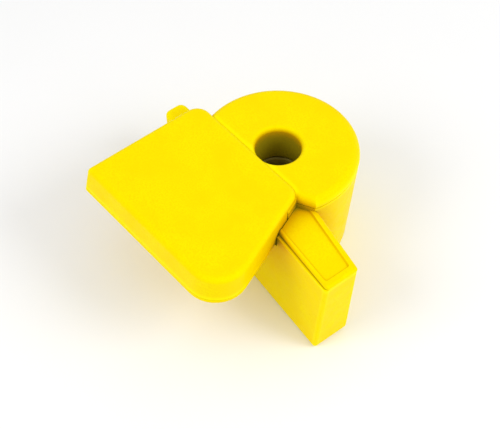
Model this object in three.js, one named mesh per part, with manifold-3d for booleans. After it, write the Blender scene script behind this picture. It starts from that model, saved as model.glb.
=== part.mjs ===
// Twist wire connector: a tapered barrel with a grip bar and a tail lug, and a head that
// twists on it: a round rim around the wire bore, with a flared thumb plate on one side.
// Millimetres, +Z up. The origin is on the barrel's axis, on the face that it stands on.

import * as THREE from 'three';
import { mergeVertices } from 'three/addons/utils/BufferGeometryUtils.js';
import Module from 'manifold-3d';

const wasm = await Module();
wasm.setup();

// ---- Driving dimensions ----

const boreRadius = 3.2;
const rimRadius = 11.3;
const plateTop = 16.4;
const barrelFootRadius = 9.85;

const rimTop = plateTop - 0.4;
const rimFillet = 1.2;
const boreChamfer = 0.7;
const seamHeight = 14.6;
const seamGap = 0.2;
const fitGap = 0.2;
const runningGap = 0.1;

const plateThickness = 4.55;
const plateBottom = plateTop - plateThickness;
const backingThickness = 0.7;
const plateInnerEdge = -(boreRadius + 0.15);
const plateOuterEdge = -22.65;
const plateLeft = -13;
const plateRight = 8.2;
const plateFlare = 0.417;
const plateFloor = 15.4;
const innerCornerRadius = 2.1;
const outerCornerRadius = 0.9;
const frontCornerRadius = 4.3;

const barTop = plateTop - 2.4;
const capThickness = 0.5;
const barRoot = 4;
const capRoot = 8;
const barEnd = 21.6;
const barRightSlope = Math.tan(THREE.MathUtils.degToRad(-12));
const barLeftAtRoot = -8.5;
const barLeftAtEnd = -10.15;
const capLeftAtRoot = -8;
const barCornerRadius = 0.5;
const shoulderGap = 0.3;

// The wedge-shaped groove beside the cap: a thin wall of the bar stands along it.
const grooveRoot = 10;
const grooveEnd = 20.5;
const grooveWall = 0.35;

const lugTip = -19.95;
const lugRoot = -6;
const lugTop = 9.6;
const lugInnerSide = -1.3;
const lugOuterSide = -4.75;
const lugTipRadius = 1;
const lugRootRadius = 0.3;

const spigotRadius = 7.8;
const spigotFoot = 9.9;
const socketRadius = spigotRadius + runningGap;
const boreFlare = 0.9;

const cupRadius = 7.4;
const cupHeight = 8.2;
const cupFloor = 1.0;
const cupMouth = 5.4;
const cupThroat = 2.7;
const plugHeight = 1.4;
const plugBossRadius = 5.6;
const plugBossHeight = 0.5;
const wireWidth = 0.9;
const springTurns = 6;

const retainerFoot = 10.6;
const retainerHeight = 0.6;
const retainerInner = 6.9;
const retainerOuter = 8.3;
const retainerOpening = THREE.MathUtils.degToRad(40);
const sealRadius = 0.55;
const sealCircle = 7.2;
const sealHeight = 12.9;

const twistRange = THREE.MathUtils.degToRad(60);
const stopPinRadius = 0.5;
const stopPinCircle = 9.4;
const stopPinAngle = Math.PI / 2;
const stopPinFoot = seamHeight - 2.6;
const stopPinTop = seamHeight + 0.6;

// How much a drafted section shrinks towards its centre for each millimetre below its top.
const barDraft = [0.0049, -0.0036];
const lugDraft = [0.004, 0.004];
const plateDraft = [-0.0045, -0.0058];
const plateDraftCentreX = 14;

// Facets, and how far a cutting tool passes the surface that it cuts.
const roundSegments = 48;
const smallRoundSegments = 32;
const pinSegments = 12;
const cordSegments = 8;
const ringSegments = 40;
const filletSteps = 4;
const cornerSteps = 5;
const springStepsPerTurn = 14;
const overcut = 1;

// ---- Materials ----

const yellowPlastic = { color: 0xf7d800, roughness: 0.38, metalness: 0 };
const darkPlastic = { color: 0x3a3833, roughness: 0.6, metalness: 0 };
const springSteel = { color: 0x55534e, roughness: 0.45, metalness: 1 };
const blackRubber = { color: 0x1d1d1e, roughness: 0.85, metalness: 0 };

const connector = new THREE.Group();

function addPart(name, geometry, look) {
  const mesh = new THREE.Mesh(geometry, new THREE.MeshStandardMaterial(look));
  mesh.name = name;
  connector.add(mesh);
}

// ---- Solids: joining and cutting closed geometries ----

function toSolid(geometry) {
  const bare = geometry.index ? geometry.toNonIndexed() : geometry.clone();
  bare.deleteAttribute('normal');
  bare.deleteAttribute('uv');
  const merged = mergeVertices(bare, 1e-4);
  return new wasm.Manifold(new wasm.Mesh({
    numProp: 3,
    vertProperties: new Float32Array(merged.attributes.position.array),
    triVerts: new Uint32Array(merged.index.array),
  }));
}

function toGeometry(solid) {
  const { vertProperties, triVerts } = solid.getMesh();
  const geometry = new THREE.BufferGeometry();
  geometry.setAttribute('position', new THREE.BufferAttribute(vertProperties, 3));
  geometry.setIndex(new THREE.BufferAttribute(triVerts, 1));
  geometry.computeVertexNormals();
  return geometry;
}

function cut(geometry, ...tools) {
  const solid = tools.reduce((rest, tool) => rest.subtract(toSolid(tool)), toSolid(geometry));
  return toGeometry(solid);
}

// ---- Outlines and basic bodies ----

// A solid of revolution about Z from [radius, height] points; the profile closes on itself.
function turned(profile, segments = roundSegments) {
  const points = [...profile, profile[0]].map(([radius, height]) => new THREE.Vector2(radius, height));
  const geometry = new THREE.LatheGeometry(points, segments);
  geometry.rotateX(Math.PI / 2);
  return geometry;
}

function cylinder(radius, bottom, top, segments = roundSegments) {
  return turned([[0, bottom], [radius, bottom], [radius, top], [0, top]], segments);
}

// A closed outline through [x, y] points.
function outline(points) {
  return new THREE.Shape(points.map(([x, y]) => new THREE.Vector2(x, y)));
}

// A closed outline through the corners [x, y, radius], each rounded to its radius.
function roundedOutline(corners) {
  const shape = new THREE.Shape();
  corners.forEach(([x, y, radius], index) => {
    const corner = new THREE.Vector2(x, y);
    const before = new THREE.Vector2(...corners.at(index - 1)).sub(corner);
    const after = new THREE.Vector2(...corners[(index + 1) % corners.length]).sub(corner);
    const halfAngle = Math.acos(before.dot(after) / (before.length() * after.length())) / 2;
    const tangent = radius / Math.tan(halfAngle);
    const start = corner.clone().add(before.setLength(tangent));
    const end = corner.clone().add(after.setLength(tangent));
    const centre = corner.clone().add(start.clone().add(end).sub(corner).sub(corner)
      .setLength(radius / Math.sin(halfAngle)));
    const startAngle = Math.atan2(start.y - centre.y, start.x - centre.x);
    const endAngle = Math.atan2(end.y - centre.y, end.x - centre.x);
    shape.absarc(centre.x, centre.y, radius, startAngle, endAngle, false);
  });
  return shape;
}

// A flat ring sector between two radii and two angles.
function ringSector(inner, outer, startAngle, endAngle) {
  const shape = new THREE.Shape();
  shape.absarc(0, 0, outer, startAngle, endAngle, false);
  shape.absarc(0, 0, inner, endAngle, startAngle, true);
  return shape;
}

// An outline extruded upwards from one height to another.
function prism(shape, bottom, top, curveSegments = cornerSteps) {
  const depth = top - bottom;
  const geometry = new THREE.ExtrudeGeometry(shape, { depth, bevelEnabled: false, curveSegments });
  geometry.translate(0, 0, bottom);
  return geometry;
}

// Moulding draft: below its top, a section shrinks (or grows) towards a centre line.
function drafted(geometry, top, centre, rate) {
  const position = geometry.attributes.position;
  for (let index = 0; index < position.count; index += 1) {
    const drop = top - position.getZ(index);
    position.setX(index, centre[0] + (position.getX(index) - centre[0]) * (1 - rate[0] * drop));
    position.setY(index, centre[1] + (position.getY(index) - centre[1]) * (1 - rate[1] * drop));
  }
  geometry.computeVertexNormals();
  return geometry;
}

function barrelRadiusAt(height) {
  return barrelFootRadius + (rimRadius - barrelFootRadius) * (height / rimTop);
}

// X of the thumb plate's flared right side at y, moved outwards by a gap.
function plateSideAt(y, gap = 0) {
  return plateRight + (plateInnerEdge - y) * plateFlare + gap * Math.hypot(1, plateFlare);
}

// ---- Barrel, its stop pin and its plug ----

function atStopPin(geometry) {
  const x = stopPinCircle * Math.cos(stopPinAngle);
  const y = stopPinCircle * Math.sin(stopPinAngle);
  return geometry.translate(x, y, 0);
}

const barrelTop = seamHeight - seamGap;
const barrelChamfer = 0.3;
const cupSeatRadius = cupRadius + runningGap;
const socketFoot = spigotFoot - fitGap;
const retainerGrooveRadius = retainerOuter + fitGap;
const retainerGrooveFoot = retainerFoot - runningGap;
const retainerGrooveTop = retainerFoot + retainerHeight + runningGap;

const barrelBody = turned([
  [cupSeatRadius, 0],
  [barrelRadiusAt(0) - barrelChamfer, 0],
  [barrelRadiusAt(barrelChamfer), barrelChamfer],
  [barrelRadiusAt(barrelTop), barrelTop],
  [socketRadius, barrelTop],
  [socketRadius, retainerGrooveTop],
  [retainerGrooveRadius, retainerGrooveTop],
  [retainerGrooveRadius, retainerGrooveFoot],
  [socketRadius, retainerGrooveFoot],
  [socketRadius, socketFoot],
  [cupSeatRadius, socketFoot],
]);
const pinHoleRadius = stopPinRadius + fitGap;
const pinHole = cylinder(pinHoleRadius, stopPinFoot - fitGap, barrelTop + overcut, pinSegments);

// The cap's root lies in a notch through the barrel's top edge.
const capFoot = barTop - capThickness;
const notchRoot = 6;
const capNotch = prism(outline([
  [notchRoot, capLeftAtRoot - fitGap],
  [rimRadius, capLeftAtRoot - fitGap],
  [rimRadius, rimRadius * barRightSlope + fitGap],
  [notchRoot, notchRoot * barRightSlope + fitGap],
]), capFoot - fitGap, barrelTop + overcut);
addPart('barrel', cut(barrelBody, atStopPin(pinHole), capNotch), yellowPlastic);

const stopPin = cylinder(stopPinRadius, stopPinFoot, stopPinTop, pinSegments);
addPart('stop_pin', atStopPin(stopPin), springSteel);

const basePlug = turned([
  [0, 0],
  [cupRadius, 0],
  [cupRadius, plugHeight],
  [plugBossRadius, plugHeight],
  [plugBossRadius, plugHeight + plugBossHeight],
  [0, plugHeight + plugBossHeight],
], smallRoundSegments);
addPart('base_plug', basePlug, yellowPlastic);

// ---- Spring cup and contact spring ----

// The cup tapers inside like the coil it holds, and its foot fits over the plug's boss.
const cupFoot = plugHeight + fitGap;
const cupTop = cupFoot + cupHeight;
const cupInsideFoot = cupFoot + cupFloor;
const cupBossRadius = plugBossRadius + fitGap;

function cupInsideAt(height) {
  return cupThroat + (cupMouth - cupThroat) * ((height - cupInsideFoot) / (cupTop - cupInsideFoot));
}

const springCup = turned([
  [0, cupFoot + plugBossHeight],
  [cupBossRadius, cupFoot + plugBossHeight],
  [cupBossRadius, cupFoot],
  [cupRadius, cupFoot],
  [cupRadius, cupTop],
  [cupMouth, cupTop],
  [cupThroat, cupInsideFoot],
  [0, cupInsideFoot],
], smallRoundSegments);
addPart('spring_cup', springCup, darkPlastic);

// The contact spring is a tapered coil of square wire, widest at the bore.
class TaperedHelix extends THREE.Curve {
  getPoint(t, target = new THREE.Vector3()) {
    const springFoot = cupInsideFoot + wireWidth;
    const springTop = cupTop - wireWidth / 2;
    const height = springFoot + (springTop - springFoot) * t;
    const radius = cupInsideAt(height) - wireWidth;
    const angle = 2 * Math.PI * springTurns * t;
    return target.set(radius * Math.cos(angle), radius * Math.sin(angle), height);
  }
}
const half = wireWidth / 2;
const wireSection = outline([[-half, -half], [half, -half], [half, half], [-half, half]]);
const contactSpring = new THREE.ExtrudeGeometry(wireSection, {
  steps: springTurns * springStepsPerTurn,
  extrudePath: new TaperedHelix(),
});
addPart('contact_spring', contactSpring, springSteel);

// ---- Grip bar, its cap, and the tail lug ----

// What the barrel and its clearance take away from the pieces that stand against it.
const barrelSpace = turned([
  [0, -overcut],
  [barrelRadiusAt(-overcut) + fitGap, -overcut],
  [barrelRadiusAt(plateTop) + fitGap, plateTop],
  [0, plateTop],
]);

// A bar outline from its root to its square end; the right side runs through the axis.
function barOutline(root, leftAtRoot) {
  return roundedOutline([
    [root, leftAtRoot, barCornerRadius],
    [barEnd, barLeftAtEnd, barCornerRadius],
    [barEnd, barEnd * barRightSlope, barCornerRadius],
    [root, root * barRightSlope, barCornerRadius],
  ]);
}

// Y at x of a straight left side that runs from its root to the bar's end.
function leftSideAt(x, root, leftAtRoot) {
  return leftAtRoot + (barLeftAtEnd - leftAtRoot) * ((x - root) / (barEnd - root));
}

// Above the plate's underside the bar stops short of the plate's side.
const shoulderFloor = plateBottom - shoulderGap;
const shoulderFar = -14;
const shoulderNear = 2;
const shoulderSpace = prism(outline([
  [barRoot - overcut, shoulderNear],
  [barRoot - overcut, shoulderFar],
  [plateSideAt(shoulderFar, shoulderGap), shoulderFar],
  [plateSideAt(shoulderNear, shoulderGap), shoulderNear],
]), shoulderFloor, plateTop);

const grooveSpace = prism(outline([
  [grooveRoot, leftSideAt(grooveRoot, capRoot, capLeftAtRoot)],
  [grooveRoot, leftSideAt(grooveRoot, barRoot, barLeftAtRoot) + grooveWall],
  [grooveEnd, leftSideAt(grooveEnd, capRoot, capLeftAtRoot)],
]), shoulderFloor, plateTop);

const barBody = drafted(
  prism(barOutline(barRoot, barLeftAtRoot), 0, capFoot - runningGap),
  barTop,
  [barRoot, barRoot * barRightSlope],
  barDraft,
);
addPart('grip_bar', cut(barBody, barrelSpace, shoulderSpace, grooveSpace), yellowPlastic);

const barCap = prism(barOutline(capRoot, capLeftAtRoot), capFoot, barTop);
addPart('bar_cap', cut(barCap, shoulderSpace), yellowPlastic);

const lugBody = drafted(
  prism(roundedOutline([
    [lugTip, lugOuterSide, lugTipRadius],
    [lugRoot, lugOuterSide, lugRootRadius],
    [lugRoot, lugInnerSide, lugRootRadius],
    [lugTip, lugInnerSide, lugTipRadius],
  ]), 0, lugTop),
  lugTop,
  [lugRoot, (lugInnerSide + lugOuterSide) / 2],
  lugDraft,
);
addPart('tail_lug', cut(lugBody, barrelSpace), yellowPlastic);

// ---- Twisting head: the rim with its spigot ----

const sealGroove = sealCircle - sealRadius - runningGap;
const sealGrooveFoot = sealHeight - sealRadius - runningGap;
const sealGrooveTop = sealHeight + sealRadius + runningGap;
const retainerSeat = retainerInner - fitGap;

// The rim's outer edge is a quarter round, drawn from the side wall to the top.
const rimFilletPoints = Array.from({ length: filletSteps + 1 }, (_, step) => {
  const angle = (Math.PI / 2) * (step / filletSteps);
  return [
    rimRadius - rimFillet * (1 - Math.cos(angle)),
    rimTop - rimFillet * (1 - Math.sin(angle)),
  ];
});

const headBody = turned([
  [boreRadius + boreFlare, spigotFoot],
  [spigotRadius, spigotFoot],
  [spigotRadius, retainerFoot],
  [retainerSeat, retainerFoot],
  [retainerSeat, retainerFoot + retainerHeight],
  [spigotRadius, retainerFoot + retainerHeight],
  [spigotRadius, sealGrooveFoot],
  [sealGroove, sealGrooveFoot],
  [sealGroove, sealGrooveTop],
  [spigotRadius, sealGrooveTop],
  [spigotRadius, seamHeight],
  [barrelRadiusAt(seamHeight), seamHeight],
  ...rimFilletPoints,
  [boreRadius + boreChamfer, rimTop],
  [boreRadius, rimTop - boreChamfer],
  [boreRadius, spigotFoot + boreFlare],
]);

// The plate lies in a seat that crosses the rim beside the bore.
const seatReach = 14;
const seatEdge = plateInnerEdge + fitGap;
const plateSpace = prism(outline([
  [-seatReach, seatEdge],
  [-seatReach, -seatReach],
  [plateSideAt(-seatReach, fitGap), -seatReach],
  [plateSideAt(seatEdge, fitGap), seatEdge],
]), plateFloor - fitGap, plateTop);

// Beside the plate's corner the rim is cut away obliquely over the root of the grip bar.
const reliefInner = -3.95;
const reliefOuter = -2.4;
const barRelief = prism(outline([
  [plateSideAt(reliefInner), reliefInner],
  [plateSideAt(-rimRadius), -rimRadius],
  [seatReach, -rimRadius],
  [seatReach, reliefOuter],
  [rimRadius, reliefOuter],
]), seamHeight - overcut, plateTop);

// The stop pin runs in an arc under the rim, which ends the twist at both limits.
const stopEnd = (stopPinRadius + runningGap) / stopPinCircle;
const trackHalfWidth = stopPinRadius + fitGap;
const stopTrack = prism(
  ringSector(
    stopPinCircle - trackHalfWidth,
    stopPinCircle + trackHalfWidth,
    stopPinAngle - stopEnd,
    stopPinAngle + twistRange + stopEnd,
  ),
  seamHeight - overcut,
  stopPinTop + fitGap,
  pinSegments,
);
addPart('head_rim', cut(headBody, plateSpace, barRelief, stopTrack), yellowPlastic);

// ---- Thumb plate and its backing ----

// Both layers share one outline, which widens a little on its way down.
function plateLayer(bottom, top) {
  const shape = roundedOutline([
    [plateLeft, plateInnerEdge, innerCornerRadius],
    [plateLeft, plateOuterEdge, outerCornerRadius],
    [plateSideAt(plateOuterEdge), plateOuterEdge, frontCornerRadius],
    [plateSideAt(plateInnerEdge), plateInnerEdge, innerCornerRadius],
  ]);
  return drafted(prism(shape, bottom, top), plateTop, [plateDraftCentreX, plateInnerEdge], plateDraft);
}

const partingHeight = plateBottom + backingThickness;
const headSpace = cylinder(rimRadius + fitGap, plateBottom - overcut, plateFloor);
addPart('thumb_plate', cut(plateLayer(partingHeight + fitGap, plateTop), headSpace), yellowPlastic);
addPart('plate_backing', cut(plateLayer(plateBottom, partingHeight), headSpace), yellowPlastic);

// ---- Rings around the spigot ----

const frictionRing = new THREE.TorusGeometry(sealCircle, sealRadius, cordSegments, ringSegments);
frictionRing.translate(0, 0, sealHeight);
addPart('friction_ring', frictionRing, blackRubber);

const retainingRing = prism(
  ringSector(
    retainerInner,
    retainerOuter,
    retainerOpening / 2,
    2 * Math.PI - retainerOpening / 2,
  ),
  retainerFoot + runningGap / 2,
  retainerFoot + retainerHeight - runningGap / 2,
  smallRoundSegments,
);
addPart('retaining_ring', retainingRing, springSteel);

export default connector;
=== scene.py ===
"""Looks of the twist wire connector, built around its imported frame.

Sizes are in millimetres until a mesh is made, which is in metres. Heights are above the base.
"""
import math

import bmesh
import bpy
from mathutils import Matrix, Vector


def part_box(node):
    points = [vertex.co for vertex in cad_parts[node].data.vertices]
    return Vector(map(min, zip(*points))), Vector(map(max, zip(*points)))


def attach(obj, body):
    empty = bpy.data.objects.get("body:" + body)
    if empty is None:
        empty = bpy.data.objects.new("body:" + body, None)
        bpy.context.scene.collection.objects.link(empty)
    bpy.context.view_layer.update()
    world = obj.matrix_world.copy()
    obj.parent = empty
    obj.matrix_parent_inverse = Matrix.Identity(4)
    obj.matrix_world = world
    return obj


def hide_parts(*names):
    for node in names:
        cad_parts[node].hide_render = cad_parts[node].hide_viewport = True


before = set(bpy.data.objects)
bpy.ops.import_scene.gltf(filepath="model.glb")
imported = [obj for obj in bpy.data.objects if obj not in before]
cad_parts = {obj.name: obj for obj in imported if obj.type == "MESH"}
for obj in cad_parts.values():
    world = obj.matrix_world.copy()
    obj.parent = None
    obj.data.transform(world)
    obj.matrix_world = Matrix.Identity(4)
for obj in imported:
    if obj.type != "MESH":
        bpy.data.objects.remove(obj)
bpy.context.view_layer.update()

MM = 0.001
ROUND_SEGMENTS = 192
ARC_STEPS = 10
SMALLEST_RADIUS = 0.03
SHARP_ANGLE = math.radians(32)

# Turned profiles stop this short of the axis, which leaves a pinhole there.
NEAR_AXIS = 0.01


# ---- Sizes taken from the frame ----

def box(node):
    """(lowest corner, highest corner) of a CAD node, in millimetres."""
    low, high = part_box(node)
    return low / MM, high / MM


BARREL_LOW, _ = box("barrel")
RIM_LOW, RIM_HIGH = box("head_rim")
_, PLATE_HIGH = box("thumb_plate")
BACKING_LOW, BACKING_HIGH = box("plate_backing")
BAR_LOW, _ = box("grip_bar")
CAP_LOW, CAP_HIGH = box("bar_cap")
LUG_LOW, LUG_HIGH = box("tail_lug")
CUP_LOW, CUP_HIGH = box("spring_cup")
PLUG_LOW, PLUG_HIGH = box("base_plug")
PIN_LOW, PIN_HIGH = box("stop_pin")
SEAL_LOW, SEAL_HIGH = box("friction_ring")
RETAINER_LOW, RETAINER_HIGH = box("retaining_ring")

RIM_RADIUS = RIM_HIGH.y
RIM_TOP = RIM_HIGH.z
SEAM_TOP = 14.6
SEAM_LINE = 0.1
BARREL_FOOT_RADIUS = 9.85
BORE_RADIUS = 3.2
SPIGOT_RADIUS = 7.8
SOCKET_RADIUS = 7.9
SHELF_HEIGHT = 15.2
RIM_FILLET = 1.2
BORE_LIP = 0.7

# The thumb plate's top outline: its flared side gains this much X for each millimetre of -Y.
PLATE_LEFT = -13.0
PLATE_OUTER = -22.65
PLATE_INNER = PLATE_HIGH.y
PLATE_RIGHT = 8.2
PLATE_FLARE = 0.417
PLATE_FILLET = 0.75
PLATE_DRAFT_CENTRE = (14, PLATE_INNER)
PLATE_DRAFT = (-0.0045, -0.0058)

# Y of the two ends of the rim's oblique cut, which clears the bar's root.
RELIEF_INNER = -3.95
RELIEF_OUTER = -2.4

# The rounded edges on either side of the plate's parting line.
PARTING_EDGE = 0.04

SEAT_GAP = 0.006
WALL_GAP = 0.02

# How far a cutter passes the surface that it opens.
OVERCUT = 1


def plate_side_at(y, gap=0.0):
    """X of the plate's flared side at y, moved outwards by a gap."""
    return PLATE_RIGHT + (PLATE_INNER - y) * PLATE_FLARE + gap * math.hypot(1, PLATE_FLARE)


def barrel_radius_at(height):
    return BARREL_FOOT_RADIUS + (RIM_RADIUS - BARREL_FOOT_RADIUS) * height / RIM_TOP


# ---- Outlines ----

def turn(angle, steps):
    """Evenly spaced angles from 0 up to, and without, the angle."""
    return [angle * step / steps for step in range(steps)]


def rounded(corners, steps=ARC_STEPS):
    """Points of a closed outline of (x, y, radius) corners, each corner an arc of its radius."""
    points = []
    for index, (x, y, radius) in enumerate(corners):
        corner = Vector((x, y))
        before = (Vector(corners[index - 1][:2]) - corner).normalized()
        after = (Vector(corners[(index + 1) % len(corners)][:2]) - corner).normalized()
        if radius == 0:
            points.append(corner)
            continue
        half_angle = before.angle(after) / 2
        centre = corner + (before + after).normalized() * radius / math.sin(half_angle)
        start = corner + before * radius / math.tan(half_angle) - centre
        end = corner + after * radius / math.tan(half_angle) - centre
        start_angle = math.atan2(start.y, start.x)
        turn = math.remainder(math.atan2(end.y, end.x) - start_angle, 2 * math.pi)
        for step in range(steps + 1):
            angle = start_angle + turn * step / steps
            points.append(centre + Vector((math.cos(angle), math.sin(angle))) * radius)
    return points


def inset(corners, distance):
    """A convex anticlockwise outline's corners, moved inwards with their radii."""
    moved = []
    for index, (x, y, radius) in enumerate(corners):
        corner = Vector((x, y))
        arriving = (corner - Vector(corners[index - 1][:2])).normalized()
        leaving = (Vector(corners[(index + 1) % len(corners)][:2]) - corner).normalized()
        first = Vector((-arriving.y, arriving.x))
        second = Vector((-leaving.y, leaving.x))
        corner += (first + second) * distance / (1 + first.dot(second))
        moved.append((corner.x, corner.y, max(radius - distance, SMALLEST_RADIUS)))
    return moved


def round_over(radius, height, steps=6):
    """(inset, height) levels of an upper edge rounded to a radius, from the wall to the top."""
    angles = [*turn(math.pi / 2, steps), math.pi / 2]
    return [(radius * (1 - math.cos(a)), height - radius * (1 - math.sin(a))) for a in angles]


def round_under(radius, height, steps=5):
    """(inset, height) levels of a lower edge rounded to a radius, from the base to the wall."""
    angles = [*turn(math.pi / 2, steps), math.pi / 2]
    return [(radius * (1 - math.sin(a)), height + radius * (1 - math.cos(a))) for a in angles]


# ---- Solids ----

def to_object(name, bm):
    """An object of the bmesh, turned from millimetres into metres."""
    bmesh.ops.remove_doubles(bm, verts=bm.verts, dist=1e-4)
    bmesh.ops.recalc_face_normals(bm, faces=bm.faces)
    bmesh.ops.scale(bm, vec=Vector((MM, MM, MM)), verts=bm.verts)
    mesh = bpy.data.meshes.new(name)
    bm.to_mesh(mesh)
    bm.free()
    piece = bpy.data.objects.new(name, mesh)
    bpy.context.scene.collection.objects.link(piece)
    return piece


def bridge(bm, lower, upper):
    for index in range(len(lower)):
        following = (index + 1) % len(lower)
        bm.faces.new((lower[index], lower[following], upper[following], upper[index]))


def moulding(name, corners, levels, shape=None):
    """A closed solid through a convex outline at each (inset, height) level, bottom first."""
    bm = bmesh.new()
    rings = []
    for distance, height in levels:
        points = [Vector((p.x, p.y, height)) for p in rounded(inset(corners, distance))]
        rings.append([bm.verts.new(shape(p) if shape else p) for p in points])
    for lower, upper in zip(rings, rings[1:]):
        bridge(bm, lower, upper)
    bm.faces.new(rings[0])
    bm.faces.new(rings[-1])
    return to_object(name, bm)


def turned(name, profile, segments=ROUND_SEGMENTS, start=0.0, sweep=2 * math.pi):
    """A solid of revolution about Z of a closed (radius, height) profile."""
    bm = bmesh.new()
    whole = math.isclose(sweep, 2 * math.pi)
    rings = []
    for step in range(segments if whole else segments + 1):
        angle = start + sweep * step / segments
        rings.append([
            bm.verts.new((radius * math.cos(angle), radius * math.sin(angle), height))
            for radius, height in profile
        ])
    for first, second in zip(rings, rings[1:] + rings[:1] if whole else rings[1:]):
        bridge(bm, first, second)
    if not whole:
        bm.faces.new(rings[0])
        bm.faces.new(rings[-1])
    return to_object(name, bm)


def block(corners, bottom, top):
    """A plain prism for cutting, from (x, y) corners."""
    bm = bmesh.new()
    lower = [bm.verts.new((x, y, bottom)) for x, y in corners]
    upper = [bm.verts.new((x, y, top)) for x, y in corners]
    bridge(bm, lower, upper)
    bm.faces.new(lower)
    bm.faces.new(upper)
    return to_object("cutter", bm)


def apply_modifiers(piece):
    depsgraph = bpy.context.evaluated_depsgraph_get()
    mesh = bpy.data.meshes.new_from_object(piece.evaluated_get(depsgraph))
    piece.modifiers.clear()
    old = piece.data
    piece.data = mesh
    bpy.data.meshes.remove(old)


def cut(piece, *cutters):
    """Cuts the cutters out of the piece and removes them."""
    for cutter in cutters:
        modifier = piece.modifiers.new("cut", "BOOLEAN")
        modifier.operation = "DIFFERENCE"
        modifier.solver = "EXACT"
        modifier.object = cutter
    apply_modifiers(piece)
    for cutter in cutters:
        bpy.data.objects.remove(cutter)
    return piece


def dress(piece, node, body, material):
    """Smooths a finished piece, gives it its material, and lets it stand for its CAD node."""
    piece.data.materials.clear()
    piece.data.materials.append(material)
    for polygon in piece.data.polygons:
        polygon.use_smooth = True
        polygon.material_index = 0
    piece.data.set_sharp_from_angle(angle=SHARP_ANGLE)
    weighted = piece.modifiers.new("even shading", "WEIGHTED_NORMAL")
    weighted.keep_sharp = True
    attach(piece, body)
    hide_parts(node)


# ---- Materials ----

RECESS_REACH = 9.0
EDGE_REACH = 0.9
THIN_EDGE_REACH = 0.2


def principled(name):
    material = bpy.data.materials.new(name)
    material.use_nodes = True
    tree = material.node_tree
    return material, tree, tree.nodes["Principled BSDF"]


def noise(tree, size, detail=3.0, stretch=(1, 1, 1)):
    """Noise whose features are about size millimetres across, in the piece's own space."""
    place = tree.nodes.new("ShaderNodeTexCoord")
    mapping = tree.nodes.new("ShaderNodeMapping")
    mapping.inputs["Scale"].default_value = stretch
    texture = tree.nodes.new("ShaderNodeTexNoise")
    texture.inputs["Scale"].default_value = 1 / (size * MM)
    texture.inputs["Detail"].default_value = detail
    tree.links.new(place.outputs["Object"], mapping.inputs["Vector"])
    tree.links.new(mapping.outputs["Vector"], texture.inputs["Vector"])
    return texture.outputs["Fac"]


def spread(tree, value, low, high, to_low=0, to_high=1):
    """The value mapped from one range to another, clamped."""
    node = tree.nodes.new("ShaderNodeMapRange")
    limits = {"From Min": low, "From Max": high, "To Min": to_low, "To Max": to_high}
    for socket, number in limits.items():
        node.inputs[socket].default_value = number
    tree.links.new(value, node.inputs["Value"])
    return node.outputs["Result"]


def mix(tree, factor, first, second):
    """A colour mixed between two, each a colour or a socket."""
    node = tree.nodes.new("ShaderNodeMix")
    node.data_type = "RGBA"
    tree.links.new(factor, node.inputs["Factor"])
    for socket, colour in ((node.inputs[6], first), (node.inputs[7], second)):
        if isinstance(colour, tuple):
            socket.default_value = (*colour, 1)
        else:
            tree.links.new(colour, socket)
    return node.outputs[2]


def bump(tree, height, depth, strength, normal=None):
    """A bump of depth millimetres."""
    node = tree.nodes.new("ShaderNodeBump")
    node.inputs["Strength"].default_value = strength
    node.inputs["Distance"].default_value = depth * MM
    tree.links.new(height, node.inputs["Height"])
    if normal:
        tree.links.new(normal, node.inputs["Normal"])
    return node.outputs["Normal"]


def connect(tree, shader, body, gloss, skin):
    for socket, source in (("Base Color", body), ("Roughness", gloss), ("Normal", skin)):
        tree.links.new(source, shader.inputs[socket])


def closeness(tree, reach):
    """An occlusion node: its AO is the share of rays that nothing stops within the reach."""
    node = tree.nodes.new("ShaderNodeAmbientOcclusion")
    node.samples = 16
    node.inputs["Distance"].default_value = reach * MM
    return node


def painted_shade_share(tree, open_share, closed_share):
    """0 where the surface is open, 1 where its surroundings close it in; it sets how much painted
    shade the surface gets.
    """
    occlusion = closeness(tree, RECESS_REACH)
    return spread(tree, occlusion.outputs["AO"], closed_share, open_share, 1, 0)


def worn_and_highlit_edge(tree, reach):
    """Above 0 near outward edges, where rays into the piece leave it again within the reach; the
    lighter edge is partly wear, partly painted highlight.
    """
    edge_share = 0.65
    flat_share = 0.95
    strongest = 0.7
    inside = closeness(tree, reach)
    inside.inside = True
    inside.only_local = True
    return spread(tree, inside.outputs["AO"], edge_share, flat_share, strongest, 0)


BODY_YELLOW = (0.925, 0.70, 0.0)
PALE_YELLOW = (0.94, 0.76, 0.0)
GRAIN_YELLOW = (0.905, 0.68, 0.0)
# Lighter edges: partly wear, partly a painted highlight on the rounded edges.
WORN_AND_HIGHLIT_EDGE_YELLOW = (1.0, 0.90, 0.0)
# Painted shade: orange in recesses, brown in the deepest places such as the bore.
PAINTED_RECESS_SHADE_ORANGE = (0.68, 0.32, 0.0)
PAINTED_DEEP_SHADE_BROWN = (0.33, 0.26, 0.006)
YELLOW_SHEEN = (1.0, 0.93, 0.0, 1)


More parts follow.
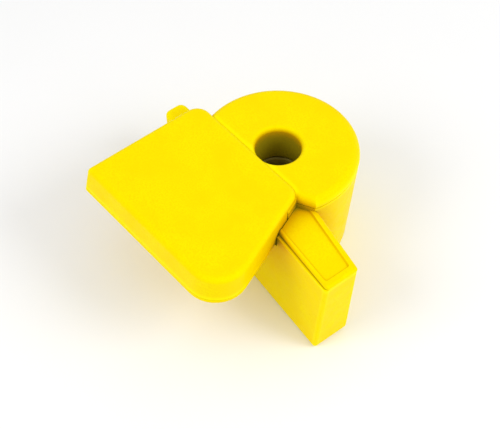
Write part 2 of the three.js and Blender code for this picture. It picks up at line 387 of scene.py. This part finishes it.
def moulded_yellow(name, edge_reach):
    """Satin injection-moulded plastic: flow mottling, fine skin grain, and edges made lighter,
    partly as wear and partly as a painted highlight.

    Its two darker tones in recesses stand in for the shade that the lights here don't give.
    """
    material, tree, shader = principled(name)
    mottle = spread(tree, noise(tree, 4.5, 5), 0.35, 0.62)
    body = mix(tree, mottle, BODY_YELLOW, PALE_YELLOW)
    grain = spread(tree, noise(tree, 0.22, 2), 0.4, 0.7)
    body = mix(tree, grain, body, GRAIN_YELLOW)
    # Painted highlight and wear on outward edges.
    body = mix(tree, worn_and_highlit_edge(tree, edge_reach), body, WORN_AND_HIGHLIT_EDGE_YELLOW)
    # Painted shade in recesses, deepest in the bore and the gaps.
    body = mix(tree, painted_shade_share(tree, open_share=0.93, closed_share=0.4), body, PAINTED_RECESS_SHADE_ORANGE)
    body = mix(tree, painted_shade_share(tree, open_share=0.5, closed_share=0.37), body, PAINTED_DEEP_SHADE_BROWN)
    gloss = spread(tree, noise(tree, 1.1, 4), 0.3, 0.7, 0.32, 0.5)
    skin = bump(tree, noise(tree, 0.16, 3), depth=0.010, strength=0.6)
    waves = bump(tree, noise(tree, 2.2, 2), depth=0.035, strength=0.5, normal=skin)
    connect(tree, shader, body, gloss, waves)
    shader.inputs["Specular Tint"].default_value = YELLOW_SHEEN
    shader.inputs["Specular IOR Level"].default_value = 0.05
    shader.inputs["IOR"].default_value = 1.49
    return material


def moulded_dark():
    """Matte olive liner plastic, which looks dark only in the bore's shade."""
    material, tree, shader = principled("moulded_dark")
    mottle = spread(tree, noise(tree, 1.5), 0.35, 0.65)
    body = mix(tree, mottle, (0.30, 0.24, 0.03), (0.36, 0.29, 0.04))
    gloss = spread(tree, noise(tree, 0.8), 0.3, 0.7, 0.5, 0.65)
    skin = bump(tree, noise(tree, 0.12), depth=0.012, strength=0.6)
    connect(tree, shader, body, gloss, skin)
    return material


def plated_steel():
    """Drawn steel with a dark phosphate coating and streaks that lie across Z."""
    material, tree, shader = principled("plated_steel")
    tarnish = spread(tree, noise(tree, 0.9, 4), 0.4, 0.7)
    body = mix(tree, tarnish, (0.15, 0.145, 0.13), (0.09, 0.085, 0.075))
    drawn = noise(tree, 0.25, 3, (1, 1, 6))
    gloss = spread(tree, drawn, 0.3, 0.7, 0.38, 0.55)
    skin = bump(tree, drawn, depth=0.008, strength=0.5)
    connect(tree, shader, body, gloss, skin)
    shader.inputs["Metallic"].default_value = 1
    return material


def black_rubber():
    material, tree, shader = principled("black_rubber")
    dust = spread(tree, noise(tree, 0.7, 4), 0.45, 0.75)
    body = mix(tree, dust, (0.018, 0.018, 0.019), (0.045, 0.044, 0.042))
    gloss = spread(tree, noise(tree, 0.4), 0.3, 0.7, 0.65, 0.85)
    skin = bump(tree, noise(tree, 0.1), depth=0.015, strength=0.6)
    connect(tree, shader, body, gloss, skin)
    return material


def pale_floor():
    material, tree, shader = principled("pale_floor")
    tone = spread(tree, noise(tree, 40), 0.3, 0.7)
    body = mix(tree, tone, (0.90, 0.90, 0.90), (0.92, 0.92, 0.92))
    tree.links.new(body, shader.inputs["Base Color"])
    shader.inputs["Roughness"].default_value = 0.9
    shader.inputs["Specular IOR Level"].default_value = 0.1
    return material


YELLOW = moulded_yellow("moulded_yellow", EDGE_REACH)
THIN_YELLOW = moulded_yellow("thin_moulded_yellow", THIN_EDGE_REACH)
DARK = moulded_dark()
STEEL = plated_steel()
RUBBER = black_rubber()


# ---- Lower body ----

PIN_CENTRE = (PIN_LOW + PIN_HIGH) / 2
PIN_RADIUS = (PIN_HIGH.x - PIN_LOW.x) / 2


def stop_pin_cutter():
    """The stop pin's hole in the barrel."""
    gap = 0.03
    radius = PIN_RADIUS + gap
    corners = [
        (PIN_CENTRE.x + radius * math.cos(a), PIN_CENTRE.y + radius * math.sin(a))
        for a in turn(2 * math.pi, 32)
    ]
    return block(corners, PIN_LOW.z - gap, SEAM_TOP + OVERCUT)


def cap_notch():
    """The notch in the barrel's top edge, up to the rim's oblique cut, for the cap's root."""
    reach = RIM_RADIUS + OVERCUT
    return block([
        (plate_side_at(RELIEF_INNER), RELIEF_INNER),
        (plate_side_at(-reach), -reach),
        (reach, -reach),
        (reach, reach * BAR_RIGHT_SLOPE),
        (RIM_RADIUS, RELIEF_OUTER),
    ], CAP_LOW.z - SEAT_GAP, RIM_TOP)


def build_barrel():
    top = SEAM_TOP - SEAM_LINE
    foot_bore = PLUG_HIGH.x + 0.04
    cup_roof = CUP_HIGH.z + 0.05
    groove_radius = RETAINER_HIGH.y + 0.15
    groove_foot = RETAINER_LOW.z - 0.1
    groove_top = RETAINER_HIGH.z + 0.1
    profile = rounded([
        (foot_bore, BARREL_LOW.z, 0.1),
        (barrel_radius_at(0), BARREL_LOW.z, 0.35),
        (barrel_radius_at(top), top, 0.15),
        (SOCKET_RADIUS, top, 0.2),
        (SOCKET_RADIUS, groove_top, SMALLEST_RADIUS),
        (groove_radius, groove_top, SMALLEST_RADIUS),
        (groove_radius, groove_foot, SMALLEST_RADIUS),
        (SOCKET_RADIUS, groove_foot, SMALLEST_RADIUS),
        (SOCKET_RADIUS, cup_roof, 0.05),
        (foot_bore, cup_roof, 0.1),
    ], 5)
    barrel = cut(turned("barrel_shell", profile), stop_pin_cutter(), cap_notch())
    dress(barrel, "barrel", "lower_body", YELLOW)


def barrel_space(gap):
    """What the barrel takes away from the pieces that stand against it."""
    low = -2 * OVERCUT
    high = RIM_TOP + 2 * OVERCUT
    return turned("cutter", [
        (NEAR_AXIS, low),
        (barrel_radius_at(low) + gap, low),
        (barrel_radius_at(high) + gap, high),
        (NEAR_AXIS, high),
    ])


# The bar's right side runs through the axis; its left side is at a smaller angle.
BAR_ROOT = 4.0
BAR_END = CAP_HIGH.x
BAR_RIGHT_SLOPE = math.tan(math.radians(-12))
BAR_LEFT_AT_ROOT = -8.5
BAR_LEFT_AT_END = -10.15
BAR_CORNER = 0.5
BAR_DRAFT = (0.0049, -0.0036)
CAP_ROOT = 8.0
CAP_LEFT_AT_ROOT = -8.33
CAP_LEFT_AT_END = -9.98
SHOULDER_GAP = 0.04
SHOULDER_FLOOR = BACKING_LOW.z - 0.25


def bar_left_at(x):
    """Y of the bar's left side."""
    change = BAR_LEFT_AT_END - BAR_LEFT_AT_ROOT
    return BAR_LEFT_AT_ROOT + change * (x - BAR_ROOT) / (BAR_END - BAR_ROOT)


def cap_left_at(x):
    """Y of the cap's left side."""
    change = CAP_LEFT_AT_END - CAP_LEFT_AT_ROOT
    return CAP_LEFT_AT_ROOT + change * (x - CAP_ROOT) / (BAR_END - CAP_ROOT)


def bar_corners(root, left_at_root, left_at_end):
    return [
        (root, left_at_root, BAR_CORNER),
        (BAR_END, left_at_end, BAR_CORNER),
        (BAR_END, BAR_END * BAR_RIGHT_SLOPE, BAR_CORNER),
        (root, root * BAR_RIGHT_SLOPE, BAR_CORNER),
    ]


def shoulder_space():
    """Above the plate's underside the bar stops short of the plate's flared side."""
    far, near = -14, 2
    return block([
        (BAR_ROOT - 1, near),
        (BAR_ROOT - 1, far),
        (plate_side_at(far, SHOULDER_GAP), far),
        (plate_side_at(near, SHOULDER_GAP), near),
    ], SHOULDER_FLOOR, RIM_TOP + 2 * OVERCUT)


def groove_space():
    """A narrow groove beside the cap, which leaves a thin wall along the bar's left side."""
    root = 10
    tip = 20.9
    wall = 0.12
    depth = 0.5
    under_cap_at_root = 0.1
    under_cap_at_tip = 0.02
    return block([
        (root, cap_left_at(root) + under_cap_at_root),
        (root, bar_left_at(root) + wall),
        (tip, bar_left_at(tip) + wall),
        (tip, cap_left_at(tip) + under_cap_at_tip),
    ], CAP_HIGH.z - depth, RIM_TOP + 2 * OVERCUT)


def lean(centre, rate, top):
    """Moulding draft: a section's distance from a centre changes with its depth below the top."""
    def shape(point):
        drop = top - point.z
        return Vector((
            centre[0] + (point.x - centre[0]) * (1 - rate[0] * drop),
            centre[1] + (point.y - centre[1]) * (1 - rate[1] * drop),
            point.z,
        ))
    return shape


def build_grip_bar():
    top = CAP_LOW.z - 0.05
    levels = [*round_under(0.7, BAR_LOW.z), *round_over(0.1, top, 3), (0.5, top)]
    corners = bar_corners(BAR_ROOT, BAR_LEFT_AT_ROOT, BAR_LEFT_AT_END)
    shape = lean((BAR_ROOT, BAR_ROOT * BAR_RIGHT_SLOPE), BAR_DRAFT, CAP_HIGH.z)
    bar = moulding("grip_bar_block", corners, levels, shape)
    cut(bar, barrel_space(WALL_GAP), shoulder_space(), groove_space())
    dress(bar, "grip_bar", "lower_body", YELLOW)


def cap_root_space():
    """What the barrel's own edge takes from the cap, behind the rim's oblique cut."""
    far_side = 2
    return block([
        (plate_side_at(RELIEF_INNER) - OVERCUT, RELIEF_INNER + SEAT_GAP),
        (plate_side_at(RELIEF_INNER), RELIEF_INNER + SEAT_GAP),
        (RIM_RADIUS, RELIEF_OUTER + SEAT_GAP),
        (RIM_RADIUS, far_side),
        (BAR_ROOT, far_side),
        (BAR_ROOT, RELIEF_INNER + SEAT_GAP),
    ], CAP_LOW.z - OVERCUT, RIM_TOP)


def build_bar_cap():
    """The cap has a raised border and a slightly sunk middle."""
    side_border = 0.62
    end_border = 1.0
    slope_width = 0.16
    depth = 0.24
    corners = bar_corners(CAP_ROOT, CAP_LEFT_AT_ROOT, CAP_LEFT_AT_END)
    levels = [*round_under(0.05, CAP_LOW.z, 2), *round_over(0.4, CAP_HIGH.z, 6), (0.5, CAP_HIGH.z)]
    cap = moulding("bar_cap_lid", corners, levels)
    (root, root_left, _), (end, end_left, _), (_, end_right, _), (_, root_right, _) = corners
    sunk = moulding("cutter", [
        (root - OVERCUT, root_left + side_border, 0.2),
        (end - end_border, end_left + side_border, 0.4),
        (end - end_border, end_right - side_border, 0.4),
        (root - OVERCUT, root_right - side_border, 0.2),
    ], [(slope_width, CAP_HIGH.z - depth), (0, CAP_HIGH.z), (0, CAP_HIGH.z + OVERCUT)])
    cut(cap, sunk, shoulder_space(), cap_root_space())
    dress(cap, "bar_cap", "lower_body", THIN_YELLOW)


def build_tail_lug():
    root = -6
    draft = (0.004, 0.004)
    tip_radius = 1.0
    root_radius = 0.3
    corners = [
        (LUG_LOW.x, LUG_LOW.y, tip_radius),
        (root, LUG_LOW.y, root_radius),
        (root, LUG_HIGH.y, root_radius),
        (LUG_LOW.x, LUG_HIGH.y, tip_radius),
    ]
    levels = [*round_under(0.4, LUG_LOW.z), *round_over(0.5, LUG_HIGH.z), (0.9, LUG_HIGH.z)]
    shape = lean((root, (LUG_LOW.y + LUG_HIGH.y) / 2), draft, LUG_HIGH.z)
    lug = cut(moulding("tail_lug_block", corners, levels, shape), barrel_space(WALL_GAP))
    dress(lug, "tail_lug", "lower_body", YELLOW)


def build_base_plug():
    rim = 1.4
    boss = 5.6
    profile = rounded([
        (NEAR_AXIS, PLUG_LOW.z, 0),
        (PLUG_HIGH.x, PLUG_LOW.z, 0.15),
        (PLUG_HIGH.x, PLUG_LOW.z + rim, 0.1),
        (boss, PLUG_LOW.z + rim, 0.05),
        (boss, PLUG_HIGH.z, 0.1),
        (NEAR_AXIS, PLUG_HIGH.z, 0),
    ], 4)
    dress(turned("base_plug_disc", profile), "base_plug", "lower_body", YELLOW)


CUP_MOUTH = 5.4
CUP_THROAT = 2.7
CUP_FLOOR = 1.0
THROAT_RADIUS = BORE_RADIUS + 0.05
THROAT_FOOT = CUP_HIGH.z - 1.7


def cup_inside_at(height):
    floor = CUP_LOW.z + CUP_FLOOR
    return CUP_THROAT + (CUP_MOUTH - CUP_THROAT) * (height - floor) / (CUP_HIGH.z - floor)


def build_spring_cup():
    hollow = 5.7
    hollow_roof = CUP_LOW.z + 0.6
    profile = rounded([
        (NEAR_AXIS, hollow_roof, 0),
        (hollow, hollow_roof, 0.05),
        (hollow, CUP_LOW.z, 0.05),
        (CUP_HIGH.x, CUP_LOW.z, 0.15),
        (CUP_HIGH.x, CUP_HIGH.z, 0.15),
        (THROAT_RADIUS, CUP_HIGH.z, 0.3),
        (THROAT_RADIUS, THROAT_FOOT, 0.3),
        (cup_inside_at(THROAT_FOOT), THROAT_FOOT, 0.1),
        (CUP_THROAT, CUP_LOW.z + CUP_FLOOR, 0.3),
        (NEAR_AXIS, CUP_LOW.z + CUP_FLOOR, 0),
    ], 4)
    dress(turned("spring_cup_liner", profile, 128), "spring_cup", "lower_body", DARK)


def build_contact_spring():
    """A tapered coil of square wire with one edge towards the bore, so that it bites."""
    wire = 0.9
    turns = 6
    steps_per_turn = 56
    foot = CUP_LOW.z + CUP_FLOOR + wire
    half = wire / 2
    head = THROAT_FOOT - half - 0.1
    edge = 0.08
    section = rounded([(0, -half, edge), (half, 0, edge), (0, half, edge), (-half, 0, edge)], 2)
    bm = bmesh.new()
    rings = []
    for step in range(turns * steps_per_turn + 1):
        share = step / (turns * steps_per_turn)
        height = foot + (head - foot) * share
        angle = 2 * math.pi * turns * share
        radius = cup_inside_at(height) - wire
        rings.append([
            bm.verts.new((
                (radius + p.x) * math.cos(angle),
                (radius + p.x) * math.sin(angle),
                height + p.y,
            ))
            for p in section
        ])
    for first, second in zip(rings, rings[1:]):
        bridge(bm, first, second)
    bm.faces.new(rings[0])
    bm.faces.new(rings[-1])
    spring = to_object("contact_spring_coil", bm)
    dress(spring, "contact_spring", "lower_body", STEEL)


def build_stop_pin():
    edge = 0.12
    profile = rounded([
        (NEAR_AXIS / 2, PIN_LOW.z, 0),
        (PIN_RADIUS, PIN_LOW.z, edge),
        (PIN_RADIUS, PIN_HIGH.z, edge),
        (NEAR_AXIS / 2, PIN_HIGH.z, 0),
    ], 4)
    pin = turned("stop_pin_dowel", profile, 40)
    pin.data.transform(Matrix.Translation((PIN_CENTRE.x * MM, PIN_CENTRE.y * MM, 0)))
    dress(pin, "stop_pin", "lower_body", STEEL)


# ---- Twisting head ----

def plate_corners():
    return [
        (PLATE_LEFT, PLATE_INNER, 2.1),
        (PLATE_LEFT, PLATE_OUTER, 0.6),
        (plate_side_at(PLATE_OUTER), PLATE_OUTER, 4.3),
        (plate_side_at(PLATE_INNER), PLATE_INNER, 2.1),
    ]


def plate_lean(point):
    """The plate widens a little towards its parting line."""
    return lean(PLATE_DRAFT_CENTRE, PLATE_DRAFT, PLATE_HIGH.z)(point)


def head_space():
    """The room that the rim's flange and the barrel take under the plate."""
    outer = RIM_RADIUS + 0.05
    shelf = SHELF_HEIGHT + 0.03
    return turned("cutter", [
        (NEAR_AXIS, -OVERCUT),
        (outer, -OVERCUT),
        (outer, shelf),
        (NEAR_AXIS, shelf),
    ])


def build_thumb_plate():
    """The plate's top is a little dished, as thick mouldings sink."""
    top = PLATE_HIGH.z
    bottom = BACKING_HIGH.z + 0.02
    dish = [(1.1, 0), (2.2, 0.02), (3.8, 0.06), (5.6, 0.09), (7.4, 0.1)]
    levels = [
        *round_under(PARTING_EDGE, bottom, 2),
        (0, (bottom + top) / 2),
        *round_over(PLATE_FILLET, top, 8),
        *((distance, top - drop) for distance, drop in dish),
    ]
    plate = moulding("thumb_plate_body", plate_corners(), levels, plate_lean)
    cut(plate, head_space())
    dress(plate, "thumb_plate", "twist_head", YELLOW)


def build_plate_backing():
    levels = [
        *round_under(0.4, BACKING_LOW.z),
        *round_over(PARTING_EDGE, BACKING_HIGH.z, 2),
        (0.6, BACKING_HIGH.z),
    ]
    backing = moulding("plate_backing_layer", plate_corners(), levels, plate_lean)
    cut(backing, head_space())
    dress(backing, "plate_backing", "twist_head", THIN_YELLOW)


def build_head_rim():
    """Known fault: the rim has no track for the stop pin, whose tip stands inside it."""
    seal_radius = (SEAL_HIGH.z - SEAL_LOW.z) / 2
    seal_middle = (SEAL_HIGH.z + SEAL_LOW.z) / 2
    seal_half = seal_radius + 0.05
    seal_floor = SEAL_HIGH.x - 2 * seal_radius - 0.08
    retainer_floor = RETAINER_HIGH.y - 1.55
    retainer_gap = 0.05
    profile = rounded([
        (BORE_RADIUS, RIM_TOP, BORE_LIP),
        (BORE_RADIUS, RIM_LOW.z, 0.6),
        (SPIGOT_RADIUS, RIM_LOW.z, 0.25),
        (SPIGOT_RADIUS, RETAINER_LOW.z - retainer_gap, SMALLEST_RADIUS),
        (retainer_floor, RETAINER_LOW.z - retainer_gap, SMALLEST_RADIUS),
        (retainer_floor, RETAINER_HIGH.z + retainer_gap, SMALLEST_RADIUS),
        (SPIGOT_RADIUS, RETAINER_HIGH.z + retainer_gap, SMALLEST_RADIUS),
        (SPIGOT_RADIUS, seal_middle - seal_half, SMALLEST_RADIUS),
        (seal_floor, seal_middle - seal_half, 0.05),
        (seal_floor, seal_middle + seal_half, 0.05),
        (SPIGOT_RADIUS, seal_middle + seal_half, SMALLEST_RADIUS),
        (SPIGOT_RADIUS, SEAM_TOP, 0.05),
        (barrel_radius_at(SEAM_TOP), SEAM_TOP, 0.05),
        (RIM_RADIUS, RIM_TOP, RIM_FILLET),
    ], 9)
    rim = cut(turned("head_rim_crown", profile), plate_seat(), bar_relief())
    dress(rim, "head_rim", "twist_head", YELLOW)


def plate_seat():
    """The plate's own shape, a hairline larger, down to the shelf that it lies on."""
    fillet = round_over(PLATE_FILLET, PLATE_HIGH.z, 8)
    levels = [(-SEAT_GAP, SHELF_HEIGHT)]
    levels += [(distance - SEAT_GAP, height) for distance, height in fillet]
    return moulding("cutter", plate_corners(), levels, plate_lean)


def bar_relief():
    """Clears the bar's root beside the plate's corner, and rounds the rim's edge there."""
    reach = RIM_RADIUS + 3 * OVERCUT
    corners = [
        (plate_side_at(RELIEF_INNER), RELIEF_INNER, 0),
        (plate_side_at(-RIM_RADIUS), -RIM_RADIUS, 0),
        (reach, -RIM_RADIUS, 0),
        (reach, RELIEF_OUTER, 0),
        (RIM_RADIUS, RELIEF_OUTER, 0),
    ]
    levels = [(0, SEAM_TOP - OVERCUT)]
    levels += [(-distance, height) for distance, height in round_over(RIM_FILLET, RIM_TOP)]
    levels += [(-RIM_FILLET, RIM_TOP + OVERCUT)]
    return moulding("cutter", corners, levels)


def build_friction_ring():
    radius = (SEAL_HIGH.z - SEAL_LOW.z) / 2
    circle = SEAL_HIGH.x - radius
    middle = (SEAL_HIGH.z + SEAL_LOW.z) / 2
    profile = [
        (circle + radius * math.cos(a), middle + radius * math.sin(a))
        for a in turn(2 * math.pi, 24)
    ]
    ring = turned("friction_ring_cord", profile, 160)
    dress(ring, "friction_ring", "twist_head", RUBBER)


def build_retaining_ring():
    opening = math.radians(40)
    edge = 0.08
    outer = RETAINER_HIGH.y
    inner = outer - 1.4
    profile = rounded([
        (inner, RETAINER_LOW.z, edge),
        (outer, RETAINER_LOW.z, edge),
        (outer, RETAINER_HIGH.z, edge),
        (inner, RETAINER_HIGH.z, edge),
    ], 3)
    ring = turned("retaining_ring_clip", profile, 160, opening / 2, 2 * math.pi - opening)
    dress(ring, "retaining_ring", "twist_head", STEEL)


# ---- Stage, lights and camera ----

AIM = Vector((7.25, -10.95, PLATE_HIGH.z)) * MM
CAMERA_AZIMUTH = math.radians(50.5)
CAMERA_ELEVATION = math.radians(50.0)
CAMERA_DISTANCE = 209.3 * MM
FIELD_OF_VIEW = math.radians(17.76)
FLOOR_HALF = 3000
FLOOR_DROP = 0.02
TENT_STRENGTH = 0.74


def direction(azimuth, elevation):
    """Unit vector towards an azimuth, anticlockwise from -Y seen from above, and an elevation."""
    return Vector((
        math.sin(azimuth) * math.cos(elevation),
        -math.cos(azimuth) * math.cos(elevation),
        math.sin(elevation),
    ))


def look_at(item, place, target):
    item.location = place
    item.rotation_euler = (target - place).to_track_quat("-Z", "Y").to_euler()


def build_camera():
    data = bpy.data.cameras.new("camera")
    data.sensor_fit = "HORIZONTAL"
    data.angle = FIELD_OF_VIEW
    data.clip_start = 0.001
    camera = bpy.data.objects.new("camera", data)
    bpy.context.scene.collection.objects.link(camera)
    look_at(camera, AIM + direction(CAMERA_AZIMUTH, CAMERA_ELEVATION) * CAMERA_DISTANCE, AIM)
    bpy.context.scene.camera = camera


def add_softbox(name, azimuth, elevation, distance, size, power):
    """A round light that faces the part, with angles in degrees and its power in watts."""
    data = bpy.data.lights.new(name, "AREA")
    data.shape = "DISK"
    data.size = size * MM
    data.energy = power
    lamp = bpy.data.objects.new(name, data)
    bpy.context.scene.collection.objects.link(lamp)
    towards = direction(math.radians(azimuth), math.radians(elevation))
    look_at(lamp, AIM + towards * distance * MM, AIM)


def build_stage():
    bm = bmesh.new()
    bmesh.ops.create_grid(bm, x_segments=8, y_segments=8, size=FLOOR_HALF)
    floor = to_object("floor", bm)
    floor.location.z = -FLOOR_DROP * MM
    floor.visible_shadow = False
    floor.data.materials.append(pale_floor())
    world = bpy.data.worlds.new("tent")
    world.use_nodes = True
    background = world.node_tree.nodes["Background"]
    background.inputs["Color"].default_value = (1, 1, 1, 1)
    background.inputs["Strength"].default_value = TENT_STRENGTH
    bpy.context.scene.world = world
    add_softbox("right_softbox", azimuth=122, elevation=38, distance=300, size=160, power=0.36)
    add_softbox("left_softbox", azimuth=-12, elevation=40, distance=300, size=180, power=0.27)


build_barrel()
build_grip_bar()
build_bar_cap()
build_tail_lug()
build_base_plug()
build_spring_cup()
build_contact_spring()
build_stop_pin()
build_head_rim()
build_thumb_plate()
build_plate_backing()
build_friction_ring()
build_retaining_ring()
build_stage()
build_camera()
bpy.context.scene.view_settings.view_transform = "Standard"
